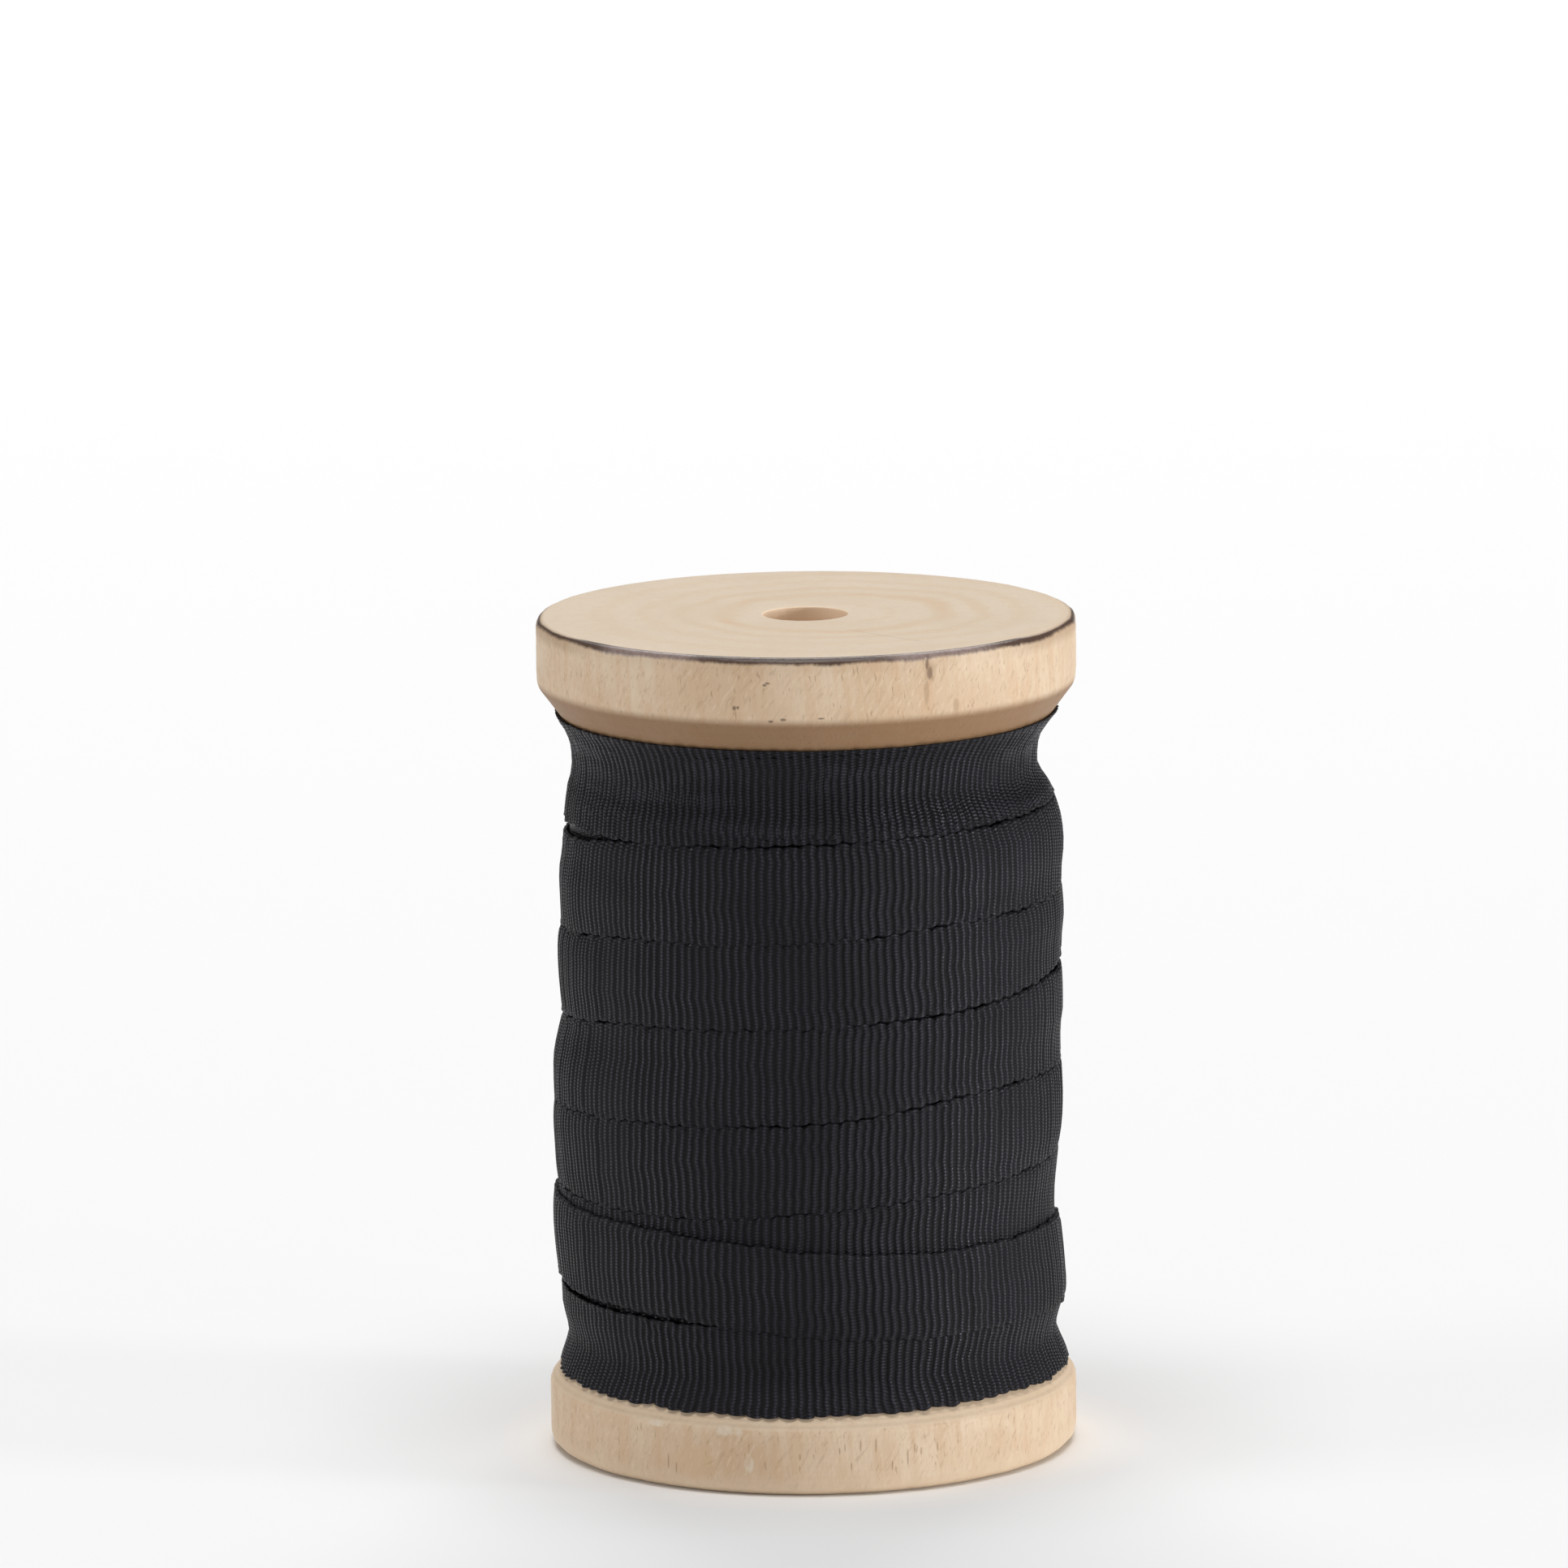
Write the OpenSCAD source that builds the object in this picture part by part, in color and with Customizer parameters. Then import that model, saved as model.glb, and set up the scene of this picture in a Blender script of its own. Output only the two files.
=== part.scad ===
// Wooden spool wound with narrow grosgrain ribbon.
// The spool axis is +Z and the spool stands on z = 0, millimetres throughout.
// The ribbon is one strip. It is drawn as three solids that lie on each other:
// the buried layers, the outer layer that runs down the spool, and the last
// turn that climbs back over it and ends at the back under a pin.

/* [Wooden spool] */
// Height over both end faces
spool_h = 93.7; // [70:0.1:130]
// Diameter of the upper flange
top_flange_d = 60; // [54:1:75]
// Diameter of the lower flange, a little smaller as turned
base_flange_d = 59; // [54:1:75]
// Height of the straight rim of the upper flange
top_rim_h = 7.2; // [4:0.1:12]
// Height of the straight rim of the lower flange
base_rim_h = 7.4; // [4:0.1:12]
// Slope of the upper flange's slanted face, from the horizontal
top_cone_angle = 54; // [40:1:60]
// Slope of the lower flange's slanted face, from the horizontal
base_cone_angle = 46; // [35:1:60]
// Diameter of the barrel that the ribbon is wound on
barrel_d = 30; // [18:1:36]
// Diameter of the hole through the spool
bore_d = 9.4; // [5:0.1:12]
// Rounding of the outer edges of both end faces
edge_r = 1; // [0.3:0.1:2]
// Rounding between each rim and its slanted face
corner_r = 1.2; // [0.3:0.1:2]
// Rounding of both mouths of the hole
mouth_r = 0.5; // [0.2:0.1:1]

/* [Ribbon] */
// Width of the ribbon
ribbon_w = 10; // [7:0.5:14]
// Thickness of one layer of ribbon
ribbon_t = 0.42; // [0.3:0.02:0.6]
// Diameter over the outer layer
winding_d = 56; // [48:0.5:58]
// Space left between two neighbouring turns of the outer layer
turn_gap = 0.35; // [0.2:0.05:1]
// How far the middle of a band stands above its edges
crown = 0.2; // [0:0.05:0.4]
// Depth of the waist where the winding sinks in below the upper flange
waist_drop = 1.8; // [0:0.1:2]
// Length of that waist along the spool
waist_len = 13.5; // [12:0.5:18]
// Clearance between one lay of ribbon and what lies under it
lay_gap = 0.12; // [0.1:0.01:0.2]
// Length that the last turn runs round the spool, in turns
last_turns = 0.98; // [0.8:0.01:1.2]
// Height that the last turn climbs on its way
last_rise = 11.8; // [6:0.1:16]

/* [Pin and tape] */
// Diameter of the pin
pin_d = 0.7; // [0.5:0.05:1]
// Length of the pin below its head
pin_len = 22; // [16:1:26]
// Diameter of the pin's head
pin_head_d = 1.9; // [1.5:0.1:3]
// Thickness of the pin's head
pin_head_t = 0.8; // [0.5:0.1:1.2]
// Length of the pin's point
pin_point = 2.5; // [1:0.5:4]
// Lean of the pin into the winding
pin_tilt = 15; // [10:1:20]
// Distance of the pin from the cut end of the ribbon
pin_inset = 4; // [2:0.5:6]
// Clearance of the pin in the ribbon
pin_gap = 0.05; // [0.03:0.01:0.1]
// Thickness of the tape that holds the ribbon's inner end
tape_t = 0.15; // [0.1:0.05:0.3]
// Length of the tape round the barrel
tape_len = 12; // [6:1:20]

/* [Hidden] */
$fn = 96;
eps = 0.01;
steps_per_turn = 36;
cell_w = 1.5;
edge_arc_steps = 6;
waist_steps = 12;

wood_colour = "burlywood";
ribbon_colour = "#1f1f26";
pin_colour = "silver";
tape_colour = "#e8dfbf";

// Azimuths run anticlockwise from +X, so the front, -Y, is at -90.
outer_start_az = 10;
last_start_az = 90;

top_r = top_flange_d / 2;
base_r = base_flange_d / 2;
barrel_r = barrel_d / 2;
bore_r = bore_d / 2;
pitch = ribbon_w + turn_gap;
cells_across = ceil(ribbon_w / cell_w);

// Chords between two steps cut inside the circle by this factor.
chord = 1 / cos(180 / steps_per_turn);

// Radii of the lays of ribbon, on a straight stretch of the winding.
outer_in_r = winding_d / 2 - crown - ribbon_t;
inner_out_r = outer_in_r - lay_gap;
last_in_r = winding_d / 2 + lay_gap;
last_out_r = last_in_r + ribbon_t + crown;

// The slanted faces: the radius of the wood at a height, and its inverse.
function base_cone_z(r) = base_rim_h + (base_r - r) * tan(base_cone_angle);
function top_cone_z(r) = spool_h - top_rim_h - (top_r - r) * tan(top_cone_angle);

// Clearance of the winding from the slanted faces, measured along the axis.
top_side_gap = tape_t / cos(top_cone_angle);
base_side_gap = tape_t / cos(base_cone_angle);

// The winding's top, where the buried layers meet the upper slanted face.
winding_top = top_cone_z(inner_out_r) - top_side_gap;
waist_z = winding_top - waist_len;
// How far the lays have sunk in at a height.
function drop(z) =
    z < waist_z ? 0 : waist_drop * pow(sin(180 * (z - waist_z) / waist_len), 2);

// Lowest edge that a lay of this outer radius can have between the flanges.
function lowest_edge(r) = base_cone_z(r) + base_side_gap;

outer_high = winding_top - ribbon_w;
outer_low = lowest_edge(outer_in_r);
outer_turns = (outer_high - outer_low) / pitch;

last_low = lowest_edge(last_in_r);
last_end_az = last_start_az - 360 * last_turns;
pin_az = last_end_az + pin_inset / last_out_r * 180 / PI;
// Height of the last turn's lower edge after a share of its way.
function climb(share) = last_low + last_rise * pow(share, 0.6);
pin_z = climb(1) + ribbon_w * 0.25;
pin_r = last_out_r + pin_head_d / 2 * cos(pin_tilt) + pin_gap;

// The rounding between a rim and its slanted face turns through this angle, and
// starts this far from their sharp corner.
top_turn = 90 - top_cone_angle;
top_run = corner_r * tan(top_turn / 2);
base_turn = 90 - base_cone_angle;
base_run = corner_r * tan(base_turn / 2);

// Arc of points round (x, y), from one angle to another.
function arc(x, y, r, from, to) = [
    for (i = [0:edge_arc_steps])
        let (a = from + (to - from) * i / edge_arc_steps)
            [x + r * cos(a), y + r * sin(a)]
];

module wooden_spool() {
    color(wood_colour)
        rotate_extrude()
            polygon(concat(
                arc(bore_r + mouth_r, mouth_r, mouth_r, 180, 270),
                arc(base_r - edge_r, edge_r, edge_r, 270, 360),
                arc(base_r - corner_r, base_rim_h - base_run, corner_r, 0, base_turn),
                [
                    [barrel_r, base_cone_z(barrel_r)],
                    [barrel_r, top_cone_z(barrel_r)],
                ],
                arc(
                    top_r - corner_r, spool_h - top_rim_h + top_run,
                    corner_r, -top_turn, 0
                ),
                arc(top_r - edge_r, spool_h - edge_r, edge_r, 0, 90),
                arc(bore_r + mouth_r, spool_h - mouth_r, mouth_r, 90, 180)
            ));
}

// A patch of tape on the middle of the barrel, under the ribbon's inner end.
module start_tape() {
    color(tape_colour)
        translate([0, 0, (spool_h - ribbon_w) / 2])
            rotate_extrude(angle = tape_len / barrel_r * 180 / PI)
                translate([barrel_r, 0])
                    square([tape_t, ribbon_w]);
}

// The buried layers, as one ring that fills the space between the flanges.
module ribbon_inner_layers() {
    in_r = barrel_r + tape_t;
    waist = [
        for (i = [0:waist_steps])
            let (z = waist_z + waist_len * i / waist_steps)
                [inner_out_r - drop(z), z]
    ];
    color(ribbon_colour)
        difference() {
            rotate_extrude()
                polygon(concat(
                    [
                        [in_r, base_cone_z(in_r) + base_side_gap],
                        [inner_out_r, base_cone_z(inner_out_r) + base_side_gap],
                    ],
                    waist,
                    [[in_r, top_cone_z(in_r) - top_side_gap]]
                ));
            pin_hole();
        }
}

// One cross-section of a lay of ribbon whose lower edge is at z, at an azimuth.
// Its back follows what lies under it, and its face is crowned.
function band_ring(az, z, in_r) = concat(
    [
        for (i = [0:cells_across])
            let (h = z + ribbon_w * i / cells_across, r = (in_r - drop(h)) * chord)
                [r * cos(az), r * sin(az), h]
    ],
    [
        for (i = [cells_across:-1:0])
            let (
                h = z + ribbon_w * i / cells_across,
                side = 2 * i / cells_across - 1,
                r = in_r - drop(h) + ribbon_t + crown * (1 - side * side)
            )
                [r * cos(az), r * sin(az), h]
    ]
);

// A closed strip through a list of rings that all have the same points.
module strip(rings) {
    n = len(rings[0]);
    last = len(rings) - 1;
    sides = [
        for (k = [0:last - 1], i = [0:n - 1])
            let (a = k * n + i, b = k * n + (i + 1) % n)
                each [[a, b, a + n], [b, b + n, a + n]]
    ];
    // The end caps are quads between the back and the face of the ribbon.
    caps = [
        for (i = [0:cells_across - 1])
            let (far = last * n)
                each [
                    [i, n - 1 - i, i + 1],
                    [i + 1, n - 1 - i, n - 2 - i],
                    [far + i, far + i + 1, far + n - 1 - i],
                    [far + i + 1, far + n - 2 - i, far + n - 1 - i],
                ]
    ];
    polyhedron(points = [for (ring = rings) each ring], faces = concat(sides, caps));
}

// The outer layer: an even helix that runs down the spool, clockwise from above.
module ribbon_outer_layer() {
    steps = floor(outer_turns * steps_per_turn);
    color(ribbon_colour)
        difference() {
            strip([
                for (k = [0:steps])
                    band_ring(
                        outer_start_az - 360 * k / steps_per_turn,
                        outer_high - pitch * k / steps_per_turn,
                        outer_in_r
                    )
            ]);
            pin_hole();
        }
}

// The last turn: it starts at the lower flange, climbs over the outer layer and
// ends at the back, where the pin holds it.
module ribbon_last_turn() {
    steps = round(last_turns * steps_per_turn);
    color(ribbon_colour)
        difference() {
            strip([
                for (k = [0:steps])
                    band_ring(
                        last_start_az - 360 * last_turns * k / steps,
                        climb(k / steps),
                        last_in_r
                    )
            ]);
            pin_hole();
        }
}

// Puts something drawn along -Z from a pin's head where the pin is. Its head is
// outside and low, and its point leans up into the buried layers.
module at_pin() {
    rotate([0, 0, pin_az])
        translate([pin_r, 0, pin_z])
            rotate([0, 180 - pin_tilt, 0])
                children();
}

module pin_hole() {
    at_pin()
        translate([0, 0, -pin_len - pin_gap])
            cylinder(d = pin_d + 2 * pin_gap, h = pin_len + 2 * pin_gap);
}

module end_pin() {
    color(pin_colour)
        at_pin()
            rotate_extrude()
                polygon([
                    [0, -pin_len],
                    [pin_d / 2, pin_point - pin_len],
                    [pin_d / 2, 0],
                    [pin_head_d / 2, pin_head_t * 0.3],
                    [pin_head_d / 2, pin_head_t * 0.6],
                    [pin_head_d / 4, pin_head_t],
                    [0, pin_head_t],
                ]);
}

wooden_spool();
start_tape();
ribbon_inner_layers();
ribbon_outer_layer();
ribbon_last_turn();
end_pin();
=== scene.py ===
"""A turned wooden spool, wound with narrow black grosgrain ribbon.

Lengths inside the modelling functions are millimetres and each mesh is scaled to metres
as it is made. The spool's axis is +Z and its front is -Y. Angles round the spool run from
the front, positive towards +X. The ribbon is one strip, and places along it are counted in
turns round the spool: a whole number of turns is at the front, and the outer layer runs
clockwise from above, down the spool.
"""

import math

import bmesh
import bpy
import numpy as np
from mathutils import Matrix, Vector


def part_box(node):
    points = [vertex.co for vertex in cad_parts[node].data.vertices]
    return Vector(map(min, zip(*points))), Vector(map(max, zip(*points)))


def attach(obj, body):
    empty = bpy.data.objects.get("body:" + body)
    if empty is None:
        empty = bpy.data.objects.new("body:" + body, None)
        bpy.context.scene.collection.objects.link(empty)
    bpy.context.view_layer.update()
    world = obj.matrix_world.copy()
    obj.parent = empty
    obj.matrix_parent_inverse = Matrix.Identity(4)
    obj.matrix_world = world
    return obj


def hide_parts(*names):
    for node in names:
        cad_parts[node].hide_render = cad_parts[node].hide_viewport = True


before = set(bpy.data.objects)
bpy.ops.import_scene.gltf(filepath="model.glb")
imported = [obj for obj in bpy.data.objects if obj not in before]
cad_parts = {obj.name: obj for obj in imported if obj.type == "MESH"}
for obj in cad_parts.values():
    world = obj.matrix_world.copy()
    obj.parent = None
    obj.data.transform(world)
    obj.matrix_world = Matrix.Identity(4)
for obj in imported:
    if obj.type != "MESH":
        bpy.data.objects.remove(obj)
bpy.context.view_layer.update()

MM = 0.001
_, SPOOL_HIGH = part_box("wooden_spool")
SPOOL_H = SPOOL_HIGH.z / MM
TOP_R = SPOOL_HIGH.x / MM

# ---------------------------------------------------------------- camera

CAMERA_ELEVATION = math.radians(11.43)
CAMERA_DISTANCE = 1.3656
CAMERA_ROLL = math.radians(0.58)
CAMERA_LENS = 280.6
# Where the spool's middle is in the view, as slopes to the right of its centre and below.
VIEW_RIGHT = 0.0021
VIEW_DOWN = 0.0199


def make_camera():
    """A long lens that looks a little down on the spool from the front."""
    middle = Vector((0, 0, SPOOL_HIGH.z / 2))
    outwards = Vector((0, -math.cos(CAMERA_ELEVATION), math.sin(CAMERA_ELEVATION)))
    place = middle + outwards * CAMERA_DISTANCE
    right = Vector((1, 0, 0))
    up = right.cross(-outwards)
    rolled_right = right * math.cos(CAMERA_ROLL) - up * math.sin(CAMERA_ROLL)
    rolled_up = right * math.sin(CAMERA_ROLL) + up * math.cos(CAMERA_ROLL)
    aim = (-outwards - rolled_right * VIEW_RIGHT + rolled_up * VIEW_DOWN).normalized()
    side = aim.cross(rolled_up).normalized()
    top = side.cross(aim)
    data = bpy.data.cameras.new("camera")
    data.lens = CAMERA_LENS
    data.clip_end = 50
    camera = bpy.data.objects.new("camera", data)
    turn = Matrix((side, top, -aim)).transposed().to_4x4()
    camera.matrix_world = Matrix.Translation(place) @ turn
    bpy.context.scene.collection.objects.link(camera)
    bpy.context.scene.camera = camera


make_camera()

# ---------------------------------------------------------------- helpers


def curve(points, x):
    """Smooth curve through a short list of (x, y) points, which doesn't overshoot them."""
    xs, ys = np.array(points, float).T
    rises = np.diff(ys) / np.diff(xs)
    product = rises[:-1] * rises[1:]
    total = np.where(product > 0, rises[:-1] + rises[1:], 1)
    slopes = np.concatenate([[0], np.where(product > 0, 2 * product / total, 0), [0]])
    x = np.clip(x, xs[0], xs[-1])
    k = np.clip(np.searchsorted(xs, x) - 1, 0, len(xs) - 2)
    step = xs[k + 1] - xs[k]
    t = (x - xs[k]) / step
    start = (1 + 2 * t) * (1 - t) ** 2 * ys[k] + t * (1 - t) ** 2 * step * slopes[k]
    end = t * t * (3 - 2 * t) * ys[k + 1] + t * t * (t - 1) * step * slopes[k + 1]
    return start + end


def ease(x, low, high):
    """0 below low, 1 above high, and a smooth rise between."""
    t = np.clip((x - low) / (high - low), 0, 1)
    return t * t * (3 - 2 * t)


WAVE_SHARES = (0.6, 0.85, 1.3, 1.9, 2.9)


def drift(x, size, seed):
    """Smooth irregular wave from about -1 to 1, whose bumps are about size long."""
    random = np.random.default_rng(seed)
    total = np.zeros(np.shape(x))
    for share in WAVE_SHARES:
        total += np.sin(2 * math.pi * x / (size * share * 2) + random.uniform(0, 7))
    return total / (len(WAVE_SHARES) / 2)


def unevenness(x, waves):
    """Sum of several drifts, each given as its height, the length of its bumps and its seed."""
    return sum(height * drift(x, size, seed) for height, size, seed in waves)


def hump(away, width):
    """1 at no distance, falling smoothly to about 0 at twice the width."""
    return np.exp(-(away / width) ** 2)


def new_mesh(name, points, faces, uvs=None):
    """A smooth mesh object from points in mm. uvs maps a UV map's name to one pair a corner."""
    mesh = bpy.data.meshes.new(name)
    mesh.from_pydata((np.asarray(points) * MM).tolist(), [], np.asarray(faces).tolist())
    for uv_name, values in (uvs or {}).items():
        layer = mesh.uv_layers.new(name=uv_name)
        layer.data.foreach_set("uv", np.asarray(values, np.float32).ravel())
    mesh.shade_smooth()
    part = bpy.data.objects.new(name, mesh)
    bpy.context.scene.collection.objects.link(part)
    return part


def srgb(red, green, blue):
    """Linear colour of an 8-bit one."""
    linear = [((c / 255 + 0.055) / 1.055) ** 2.4 if c > 10 else c / 255 / 12.92
              for c in (red, green, blue)]
    return (*linear, 1)


class Pattern:
    """Short ways to build a node material. A value is a socket or a plain number."""

    def __init__(self, name):
        self.material = bpy.data.materials.new(name)
        self.material.use_nodes = True
        self.tree = self.material.node_tree
        self.tree.nodes.clear()
        self.shader = self.tree.nodes.new("ShaderNodeBsdfPrincipled")
        output = self.tree.nodes.new("ShaderNodeOutputMaterial")
        self.tree.links.new(self.shader.outputs[0], output.inputs[0])

    def put(self, socket, value):
        if isinstance(value, bpy.types.NodeSocket):
            self.tree.links.new(value, socket)
        else:
            socket.default_value = value

    def math(self, operation, a, b=0.0):
        node = self.tree.nodes.new("ShaderNodeMath")
        node.operation = operation
        self.put(node.inputs[0], a)
        self.put(node.inputs[1], b)
        return node.outputs[0]

    def vector(self, operation, a, b=(0, 0, 0)):
        node = self.tree.nodes.new("ShaderNodeVectorMath")
        node.operation = operation
        self.put(node.inputs[0], a)
        self.put(node.inputs[1], b)
        return node.outputs["Value" if operation == "LENGTH" else "Vector"]

    def split(self, vector):
        node = self.tree.nodes.new("ShaderNodeSeparateXYZ")
        self.put(node.inputs[0], vector)
        return node.outputs

    def join(self, x, y, z):
        node = self.tree.nodes.new("ShaderNodeCombineXYZ")
        for socket, value in zip(node.inputs, (x, y, z)):
            self.put(socket, value)
        return node.outputs[0]

    def noise(self, vector, scale, detail, roughness):
        node = self.tree.nodes.new("ShaderNodeTexNoise")
        self.put(node.inputs["Vector"], vector)
        node.inputs["Scale"].default_value = scale
        node.inputs["Detail"].default_value = detail
        node.inputs["Roughness"].default_value = roughness
        return node.outputs[0]

    def span(self, value, low, high, start=0.0, end=1.0):
        """The share of the way from low to high, smoothly, as a value from start to end."""
        node = self.tree.nodes.new("ShaderNodeMapRange")
        node.interpolation_type = "SMOOTHSTEP"
        for socket, number in zip(node.inputs, (value, low, high, start, end)):
            self.put(socket, number)
        return node.outputs[0]

    def mix(self, share, a, b):
        node = self.tree.nodes.new("ShaderNodeMix")
        node.data_type = "RGBA"
        self.put(node.inputs[0], share)
        self.put(node.inputs[6], a)
        self.put(node.inputs[7], b)
        return node.outputs[2]

    def object_mm(self):
        """Place on the object, in mm."""
        node = self.tree.nodes.new("ShaderNodeTexCoord")
        return self.vector("MULTIPLY", node.outputs["Object"], (1 / MM,) * 3)

    def bump(self, height, strength, distance):
        node = self.tree.nodes.new("ShaderNodeBump")
        node.inputs["Strength"].default_value = strength
        node.inputs["Distance"].default_value = distance
        self.put(node.inputs["Height"], height)
        self.tree.links.new(node.outputs[0], self.shader.inputs["Normal"])

    def spot(self, place, centre, size):
        """1 at a centre in mm, falling to 0 on a soft ellipsoid of that size round it."""
        shares = tuple(1 / s for s in size)
        away = self.vector("MULTIPLY", self.vector("SUBTRACT", place, centre), shares)
        return self.span(self.vector("LENGTH", away), 0.45, 1.0, 1.0, 0.0)

    def scratch(self, place, start, end, width):
        """1 along a straight line between two points in mm, and 0 at that width from it."""
        start, end = Vector(start), Vector(end)
        way = (end - start).normalized()
        length = (end - start).length
        from_start = self.vector("SUBTRACT", place, start)
        beside = self.vector("LENGTH", self.vector("CROSS_PRODUCT", from_start, way))
        along = self.vector("MULTIPLY", from_start, way)
        x, y, z = self.split(along)
        along = self.math("ADD", self.math("ADD", x, y), z)
        middle = self.math("ABSOLUTE", self.math("SUBTRACT", along, length / 2))
        return self.math("MULTIPLY", self.span(beside, width * 0.3, width, 1.0, 0.0),
                         self.span(middle, length * 0.3, length * 0.5, 1.0, 0.0))

    def either(self, masks):
        """The strongest of several masks."""
        total = masks[0]
        for mask in masks[1:]:
            total = self.math("MAXIMUM", total, mask)
        return total


# ---------------------------------------------------------------- the wooden spool

BASE_R = 29.5
BARREL_R = 15.0
BORE_R = 4.7
TOP_RIM_H = 7.2
BASE_RIM_H = 7.4
# Slant of the flanges' inner faces, measured from the end faces.
TOP_CONE_ANGLE = 54
BASE_CONE_ANGLE = 46
TOP_SLOPE = math.tan(math.radians(TOP_CONE_ANGLE))
BASE_SLOPE = math.tan(math.radians(BASE_CONE_ANGLE))
# Rounding of the outer edges, of the corners where a rim meets its slanted face, and of the bore.
TOP_EDGE_R = 0.9
BASE_EDGE_R = 1.8
TOP_CORNER_R = 1.9
BASE_CORNER_R = 0.9
MOUTH_R = 0.15
TOP_EDGE_Z = SPOOL_H - TOP_RIM_H
SPOOL_SIDES = 480
# Longest stretches of the outline, on the rims beyond this radius and everywhere else.
SEEN_STEP = 0.8
HIDDEN_STEP = 3.5
RIM_INSIDE_R = 27
# Wear of the edges, and unevenness left by turning, along the axis and round it, each as
# (height, length of the bumps, seed). The radius turns angles into mm round the spool.
ROUND_R = 30
WEAR = [(0.05, 5, 3), (0.03, 1.6, 4)]
TURNED_ALONG = [(0.02, 0.9, 5)]
TURNED_ROUND = [(0.03, 16, 6)]


def wood_radius(z):
    """Radius of the wood between the flanges at a height."""
    base = BASE_R - (z - BASE_RIM_H) / BASE_SLOPE
    top = TOP_R - (TOP_EDGE_Z - z) / TOP_SLOPE
    return np.maximum(BARREL_R, np.maximum(base, top))


def round_arc(r, z, radius, start, end, steps):
    """Points of an arc in the outline, from its centre, radius and two angles in degrees."""
    angles = [math.radians(start + (end - start) * i / steps) for i in range(steps + 1)]
    return [(r + radius * math.cos(a), z + radius * math.sin(a)) for a in angles]


def filled(points, longest):
    """The same outline with points added, so that no stretch is longer than longest."""
    result = [points[0]]
    for a, b in zip(points, points[1:]):
        pieces = max(1, math.ceil(math.dist(a, b) / longest(a, b)))
        result += [
            (a[0] + (b[0] - a[0]) * i / pieces, a[1] + (b[1] - a[1]) * i / pieces)
            for i in range(1, pieces + 1)
        ]
    return result


def spool_profile():
    """Closed half outline of the spool as (radius, height), from the bottom mouth outwards."""
    base_turn = 90 - BASE_CONE_ANGLE
    base_run = BASE_CORNER_R * math.tan(math.radians(base_turn / 2))
    top_turn = 90 - TOP_CONE_ANGLE
    top_run = TOP_CORNER_R * math.tan(math.radians(top_turn / 2))
    mouth = BORE_R + MOUTH_R
    outline = round_arc(mouth, MOUTH_R, MOUTH_R, 180, 270, 4)
    outline += round_arc(BASE_R - BASE_EDGE_R, BASE_EDGE_R, BASE_EDGE_R, 270, 360, 8)
    outline += round_arc(
        BASE_R - BASE_CORNER_R, BASE_RIM_H - base_run, BASE_CORNER_R, 0, base_turn, 6)
    outline += [
        (BARREL_R, BASE_RIM_H + (BASE_R - BARREL_R) * BASE_SLOPE),
        (BARREL_R, TOP_EDGE_Z - (TOP_R - BARREL_R) * TOP_SLOPE),
    ]
    outline += round_arc(
        TOP_R - TOP_CORNER_R, TOP_EDGE_Z + top_run, TOP_CORNER_R, -top_turn, 0, 6)
    outline += round_arc(TOP_R - TOP_EDGE_R, SPOOL_H - TOP_EDGE_R, TOP_EDGE_R, 0, 90, 8)
    outline += round_arc(mouth, SPOOL_H - MOUTH_R, MOUTH_R, 90, 180, 4)
    outline.append(outline[0])

    def longest(a, b):
        on_rim_face = max(a[0], b[0]) > RIM_INSIDE_R and abs(a[0] - b[0]) < 6
        return SEEN_STEP if on_rim_face else HIDDEN_STEP

    return filled(outline, longest)


def make_spool():
    """The spool, turned from its outline, with dents and slight unevenness."""
    profile = np.array(spool_profile())
    rows = len(profile) - 1
    angle = 2 * math.pi * np.arange(SPOOL_SIDES) / SPOOL_SIDES
    r = np.repeat(profile[:rows, :1], SPOOL_SIDES, 1)
    z = np.repeat(profile[:rows, 1:], SPOOL_SIDES, 1)
    near_edge = hump(z - SPOOL_H + 0.5, 0.8) + hump(z - 0.6, 1.2)
    near_corner = hump(z - BASE_RIM_H, 0.9) + hump(z - TOP_EDGE_Z, 0.9)
    outside = ease(r, 26, 28.5)
    worn = unevenness(angle * ROUND_R, WEAR)
    turned = unevenness(z, TURNED_ALONG) + unevenness(angle * ROUND_R, TURNED_ROUND)
    r = r + outside * (turned + worn * near_edge + 0.8 * worn * near_corner)
    x = r * np.sin(angle)
    y = -r * np.cos(angle)
    points = np.stack([x, y, np.clip(z, 0, SPOOL_H)], -1).reshape(-1, 3)

    row, side = np.meshgrid(np.arange(rows), np.arange(SPOOL_SIDES), indexing="ij")
    next_row = (row + 1) % rows
    next_side = (side + 1) % SPOOL_SIDES
    corners = [(row, side), (row, next_side), (next_row, next_side), (next_row, side)]
    faces = np.stack([a * SPOOL_SIDES + b for a, b in corners], -1).reshape(-1, 4)
    along = np.concatenate([[0], np.cumsum(np.hypot(*np.diff(profile, axis=0).T))])
    along /= along[-1]
    u = side / SPOOL_SIDES
    u_next = (side + 1) / SPOOL_SIDES
    uv = np.stack([
        np.stack([u, along[row]], -1), np.stack([u_next, along[row]], -1),
        np.stack([u_next, along[row + 1]], -1), np.stack([u, along[row + 1]], -1),
    ], 2)
    return new_mesh("spool_wood", points, faces, {"OFBake": uv})


WOOD_LIGHT = srgb(226, 204, 177)
WOOD_MAIN = srgb(215, 187, 156)
WOOD_WARM = srgb(211, 176, 139)
WOOD_END = srgb(226, 211, 190)
WOOD_RING = srgb(216, 183, 146)
WOOD_PORE = srgb(150, 116, 84)
WOOD_BURNT = srgb(66, 47, 42)
# Painted shade on the slanted face under the upper flange.
WOOD_PAINTED_SHADE = srgb(126, 90, 54)
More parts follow.
